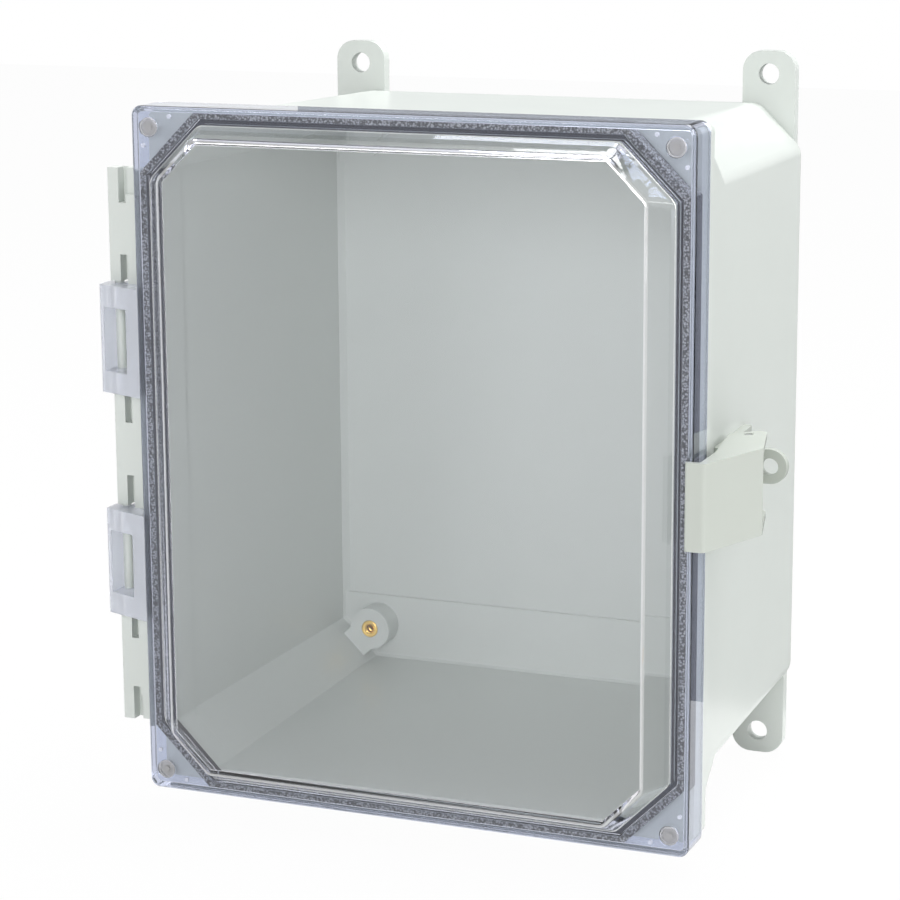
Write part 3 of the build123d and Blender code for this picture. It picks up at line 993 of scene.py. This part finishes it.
@dataclass
class ClearCover:
    """The clear cover with its loops, gasket, corner plugs and mould marks."""

    plug_ring: float = 0.8 * MM
    plug_dish: float = 0.8 * MM
    plug_boss: float = 1.3 * MM
    plug_boss_share: float = 0.95
    plug_rim: float = 0.25 * MM
    mark_radius: float = 0.85 * MM
    mark_height: float = 0.8 * MM
    mark_near: float = 4.0 * MM
    mark_far: float = 15.5 * MM
    small_sides: int = 24
    plate: float = 3.0 * MM
    window_height: float = 9.5 * MM
    hair: float = 0.04 * MM
    pieces: list[bpy.types.Object] = field(default_factory=list)

    def build(self) -> None:
        """Dress the cover, its loops and its gasket, and add the small pieces."""
        cover = MouldedPiece(
            "clear_cover", Body.COVER, Slot.CLEAR_PLASTIC, CLEAR_PLASTIC, edge=0.3 * MM
        )
        self.pieces.append(cover.build())
        for side in ("upper", "lower"):
            loop = MouldedPiece(
                f"hinge_loop_{side}", Body.COVER, Slot.CLEAR_PLASTIC, LOOP_PLASTIC, edge=0.5 * MM
            )
            self.pieces.append(loop.build())
            self.part_from_cover(self.pieces[-1])
        foam = MouldedPiece(
            "cover_gasket", Body.COVER, Slot.GASKET_FOAM, GASKET_FOAM, edge=0.3 * MM
        )
        self.pieces.append(foam.build())
        self.pieces += [self.plugs(), self.mould_marks()]

    def part_from_cover(self, loop: bpy.types.Object) -> None:
        """Draw a loop's joined face back by a hair, so that the two clear pieces share no face.

        Args:
            loop: Hinge loop beside the cover's left skirt.
        """
        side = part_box("clear_cover")[0].x
        for vertex in loop.data.vertices:
            if vertex.co.x > side - self.hair:
                vertex.co.x -= self.hair

    def plugs(self) -> bpy.types.Object:
        """Four corner plugs, each a dished disc with a rim and a low boss in its middle.

        Returns:
            One mesh with all four.
        """
        nodes = [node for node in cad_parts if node.startswith("corner_plug")]
        low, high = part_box("corner_plug_upper_right")
        centre = (low + high) / 2
        tree = GeometryTree("corner plugs", {
            "Material": "NodeSocketMaterial",
            "Centre": "NodeSocketVector",
            "Reach": "NodeSocketVector",
            "Radius": "NodeSocketFloat",
            "Ring": "NodeSocketFloat",
            "Height": "NodeSocketFloat",
            "Dish": "NodeSocketFloat",
            "Boss": "NodeSocketFloat",
        })
        given, wires = tree.given, tree.wires
        inner = wires.math("SUBTRACT", given["Radius"], given["Ring"])
        rim = tree.tube(given["Radius"], inner, given["Height"], self.plug_rim)
        dish = tree.disc(inner, wires.math("SUBTRACT", given["Height"], given["Dish"]))
        boss_height = wires.math("MULTIPLY", given["Height"], self.plug_boss_share)
        boss = tree.disc(given["Boss"], boss_height, self.small_sides)
        points = tree.four_corners(given["Centre"], given["Reach"])
        tree.finish(tree.repeat(points, tree.join(rim, dish, boss), FACING_FRONT))
        piece = tree.bake("corner_plugs", {
            "Material": PLUG_PLASTIC.material(),
            "Centre": (0.0, high.y, 0.0),
            "Reach": (centre.x, 0.0, centre.z),
            "Radius": (high.x - low.x) / 2,
            "Ring": self.plug_ring,
            "Height": high.y - low.y,
            "Dish": self.plug_dish,
            "Boss": self.plug_boss,
        })
        settle(piece, Body.COVER, PLUG_PLASTIC)
        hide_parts(*nodes)
        return piece

    def mould_marks(self) -> bpy.types.Object:
        """Eight low round marks behind the plate, two beside each corner.

        Returns:
            One mesh with all eight.
        """
        low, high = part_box("clear_cover")
        plate_back = low.y + self.window_height + self.plate
        tree = GeometryTree("mould marks", {
            "Material": "NodeSocketMaterial",
            "Centre": "NodeSocketVector",
            "Beside": "NodeSocketVector",
            "Above": "NodeSocketVector",
            "Radius": "NodeSocketFloat",
            "Height": "NodeSocketFloat",
        })
        given = tree.given
        mark = tree.disc(given["Radius"], given["Height"], self.small_sides)
        rows = [
            tree.repeat(tree.four_corners(given["Centre"], given[reach]), mark, FACING_FRONT)
            for reach in ("Beside", "Above")
        ]
        tree.finish(tree.join(*rows))
        piece = tree.bake("mould_marks", {
            "Material": MARK_PLASTIC_AND_GLINT.material(),
            "Centre": (0.0, plate_back + self.mark_height, 0.0),
            "Beside": (high.x - self.mark_near, 0.0, high.z - self.mark_far),
            "Above": (high.x - self.mark_far, 0.0, high.z - self.mark_near),
            "Radius": self.mark_radius,
            "Height": self.mark_height,
        })
        settle(piece, Body.COVER, MARK_PLASTIC_AND_GLINT)
        return piece


@dataclass
class SideLatch:
    """The latch lever on its pin, with the bracket and its two screws."""

    pieces: list[bpy.types.Object] = field(default_factory=list)

    def build(self) -> None:
        """Dress the lever, the bracket, the pin and the screws."""
        lever = MouldedPiece("latch_lever", Body.LATCH, Slot.LATCH_PLASTIC, LATCH_PLASTIC)
        bracket = MouldedPiece("latch_bracket", Body.ENCLOSURE, Slot.FIBERGLASS, LATCH_PLASTIC)
        pin = MouldedPiece("latch_pin", Body.ENCLOSURE, Slot.STEEL, STEEL, edge=0.25 * MM)
        screws = MouldedPiece(
            "latch_bracket_screws", Body.ENCLOSURE, Slot.STEEL, STEEL, edge=0.2 * MM
        )
        self.pieces += [piece.build() for piece in (lever, bracket, pin, screws)]


# ---- Studio and camera ----


@dataclass(frozen=True)
class Softbox:
    """A square area lamp that looks at the object and stays out of the picture."""

    name: str
    place: Point
    size: float
    power: float

    def build(self, target: Vector) -> None:
        """Hang the lamp and turn it to the target.

        Args:
            target: Point that it looks at.
        """
        data = bpy.data.lights.new(self.name, "AREA")
        data.shape = "SQUARE"
        data.size = self.size
        data.energy = self.power
        lamp = bpy.data.objects.new(self.name, data)
        bpy.context.scene.collection.objects.link(lamp)
        place = Vector(self.place)
        aim = (target - place).to_track_quat("-Z", "Y").to_matrix().to_4x4()
        lamp.matrix_world = Matrix.Translation(place) @ aim
        lamp.visible_camera = False


@dataclass
class Studio:
    """White studio: a plain floor, two cards seen only in gloss as painted reflections, soft lamps
    and an even world.
    """

    world_level: float = 0.35
    floor_size: float = 6.0
    floor_glow: float = 0.97
    floor_shade: Colour = shade(236, 236, 236)
    # Colours of the two cards, which only show as painted dark reflections.
    dark_painted_reflection: Colour = shade(70, 72, 76)
    grey_painted_reflection: Colour = shade(150, 152, 156)
    card_lift: float = 1.0 * MM
    card_gap: float = 50.0 * MM
    card_side: float = 1.5
    card_depth: float = 2.9
    card_height: float = 1.6
    lamps: tuple[Softbox, ...] = (
        Softbox("overhead softbox", (0.1, 0.12, 1.4), 0.9, 22.0),
        Softbox("right overhead softbox", (0.92, 0.42, 1.23), 0.22, 1.6),
        Softbox("side softbox", (1.55, 0.3, 0.45), 0.9, 13.0),
        Softbox("front softbox", (0.45, -1.9, 0.45), 0.8, 15.0),
        Softbox("left front softbox", (-0.8, -1.85, 0.7), 0.5, 4.0),
    )

    def build(self) -> None:
        """Set up the world, the floor, the cards and the lamps."""
        self.world()
        self.floor()
        self.cards()
        middle = (CAD_BOX[0] + CAD_BOX[1]) / 2
        for lamp in self.lamps:
            lamp.build(middle)
        bpy.context.scene.view_settings.view_transform = "Standard"

    def world(self) -> None:
        """World that lights evenly, and is white where it is seen, in gloss or through a piece."""
        world = bpy.data.worlds.new("white studio")
        world.use_nodes = True
        world.node_tree.nodes.clear()
        wires = Wiring(world.node_tree)
        seen = self.white_where_seen(wires)
        light = wires.node("ShaderNodeBackground", Color=WHITE, Strength=self.world_level)
        white = wires.node("ShaderNodeBackground", Color=WHITE, Strength=1.0)
        mix = wires.mix_shader(seen, light.outputs[0], white.outputs[0])
        wires.node("ShaderNodeOutputWorld", Surface=mix)
        bpy.context.scene.world = world

    def white_where_seen(self, wires: Wiring) -> bpy.types.NodeSocket:
        """1 for the rays of the camera, of gloss and of transmission, and 0 for light.

        Args:
            wires: Wiring of the tree.

        Returns:
            Mask socket.
        """
        path = wires.node("ShaderNodeLightPath").outputs
        seen = wires.math("MAXIMUM", path["Is Camera Ray"], path["Is Glossy Ray"])
        return wires.math("MAXIMUM", seen, path["Is Transmission Ray"])

    def floor(self) -> None:
        """Pale floor under the lowest point, white to the camera but for the object's shadow."""
        half = self.floor_size / 2
        level = CAD_BOX[0].z
        ring = ((-half, -half), (half, -half), (half, half), (-half, half))
        material, wires = blank_material("pale floor")
        matte = wires.node("ShaderNodeBsdfDiffuse", Color=(*self.floor_shade, 1.0))
        glow = wires.node("ShaderNodeEmission", Color=WHITE, Strength=1.0)
        amount = wires.math("MULTIPLY", self.white_where_seen(wires), self.floor_glow)
        mix = wires.mix_shader(amount, matte.outputs[0], glow.outputs[0])
        wires.node("ShaderNodeOutputMaterial", Surface=mix)
        floor = self.sheet("floor", [(x, y, level) for x, y in ring], material)

    def cards(self) -> None:
        """Dark card on the floor and grey upright card, both behind the object, which paint dark
        reflections.
        """
        side, far, high = self.card_side, self.card_depth, self.card_height
        low = CAD_BOX[0].z + self.card_lift
        near = CAD_BOX[1].y + self.card_gap
        lying = [(-side, near, low), (side, near, low), (side, far, low), (-side, far, low)]
        upright = [(-side, far, low), (side, far, low), (side, far, high), (-side, far, high)]
        self.card("dark card", lying, self.dark_painted_reflection)
        self.card("grey card", upright, self.grey_painted_reflection)

    def card(self, name: str, corners: list[Point], reflected_shade: Colour) -> None:
        """One even glowing card, unseen by the camera and by light, whose colour is a painted dark
        reflection that gives the clear edges their lines.

        Args:
            name: Its name.
            corners: Its four corners in turn.
            reflected_shade: Its colour.
        """
        material, wires = blank_material(name)
        even = wires.node("ShaderNodeEmission", Color=(*reflected_shade, 1.0), Strength=1.0)
        wires.node("ShaderNodeOutputMaterial", Surface=even.outputs[0])
        card = self.sheet(name, corners, material)
        card.visible_camera = False
        card.visible_diffuse = False
        card.visible_transmission = False
        card.visible_shadow = False

    def sheet(
        self, name: str, corners: list[Point], material: bpy.types.Material
    ) -> bpy.types.Object:
        """One four-cornered face.

        Args:
            name: Its name.
            corners: Its four corners in turn.
            material: Its material.

        Returns:
            The sheet's object.
        """
        mesh = bpy.data.meshes.new(name)
        mesh.from_pydata(corners, [], [(0, 1, 2, 3)])
        mesh.materials.append(material)
        made = bpy.data.objects.new(name, mesh)
        bpy.context.scene.collection.objects.link(made)
        return made


@dataclass(frozen=True)
class PhotoCamera:
    """Camera at the place, the angle and the focal length that the photograph was fitted with."""

    place: Point = (0.41541, -1.14087, 0.24477)
    yaw: float = 22.515
    pitch: float = 12.406
    roll: float = -0.396
    focal_pixels: float = 2835.3
    centre_x: float = 441.3
    centre_y: float = 443.1
    picture_pixels: float = 900.0
    sensor: float = 36.0

    def build(self) -> None:
        """Add the camera and make it the scene's."""
        data = bpy.data.cameras.new("photo camera")
        data.sensor_width = self.sensor
        data.lens = self.focal_pixels / self.picture_pixels * self.sensor
        data.shift_x = (self.picture_pixels / 2 - self.centre_x) / self.picture_pixels
        data.shift_y = (self.centre_y - self.picture_pixels / 2) / self.picture_pixels
        camera = bpy.data.objects.new("photo camera", data)
        bpy.context.scene.collection.objects.link(camera)
        turn = Matrix.Rotation(math.radians(self.yaw), 4, "Z")
        tilt = Matrix.Rotation(math.radians(90.0 - self.pitch), 4, "X")
        lean = Matrix.Rotation(math.radians(self.roll), 4, "Z")
        camera.matrix_world = Matrix.Translation(self.place) @ turn @ tilt @ lean
        bpy.context.scene.camera = camera


def main() -> None:
    """Build each sub-assembly, the studio and the camera."""
    logging.basicConfig(level=logging.INFO, format="%(name)s: %(message)s")
    for part in (MouldedBox(), ClearCover(), SideLatch()):
        part.build()
        LOG.info("%s: %d pieces", type(part).__name__, len(part.pieces))
    Studio().build()
    PhotoCamera().build()
    bpy.context.view_layer.update()


if __name__ == "__main__":
    main()
